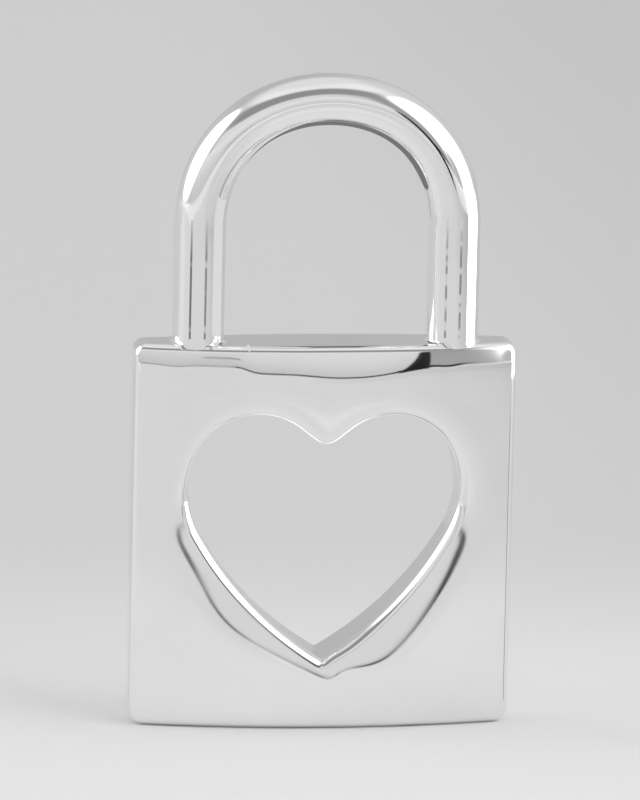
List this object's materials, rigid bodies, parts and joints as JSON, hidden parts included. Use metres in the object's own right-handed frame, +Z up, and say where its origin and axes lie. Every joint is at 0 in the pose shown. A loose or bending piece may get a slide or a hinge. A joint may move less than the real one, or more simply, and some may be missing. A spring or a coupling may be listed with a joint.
{
  "type": "heart lock pendant",
  "caption": "Solid polished silver charm in the form of a small padlock, with a heart cut right through its bowed body and a fixed round-wire shackle.",
  "frame": {"origin": "middle of the base, where the charm stands", "axes": "+Z up through the shackle, the front with the heart faces -Y, +X to the right seen from the front"},
  "size_m": [0.0128, 0.0028, 0.022],
  "materials": {
    "polished_silver": "mirror-polished sterling silver"
  },
  "bodies": {
    "root": {"heart_lock": "polished_silver"}
  },
  "joints": []
}
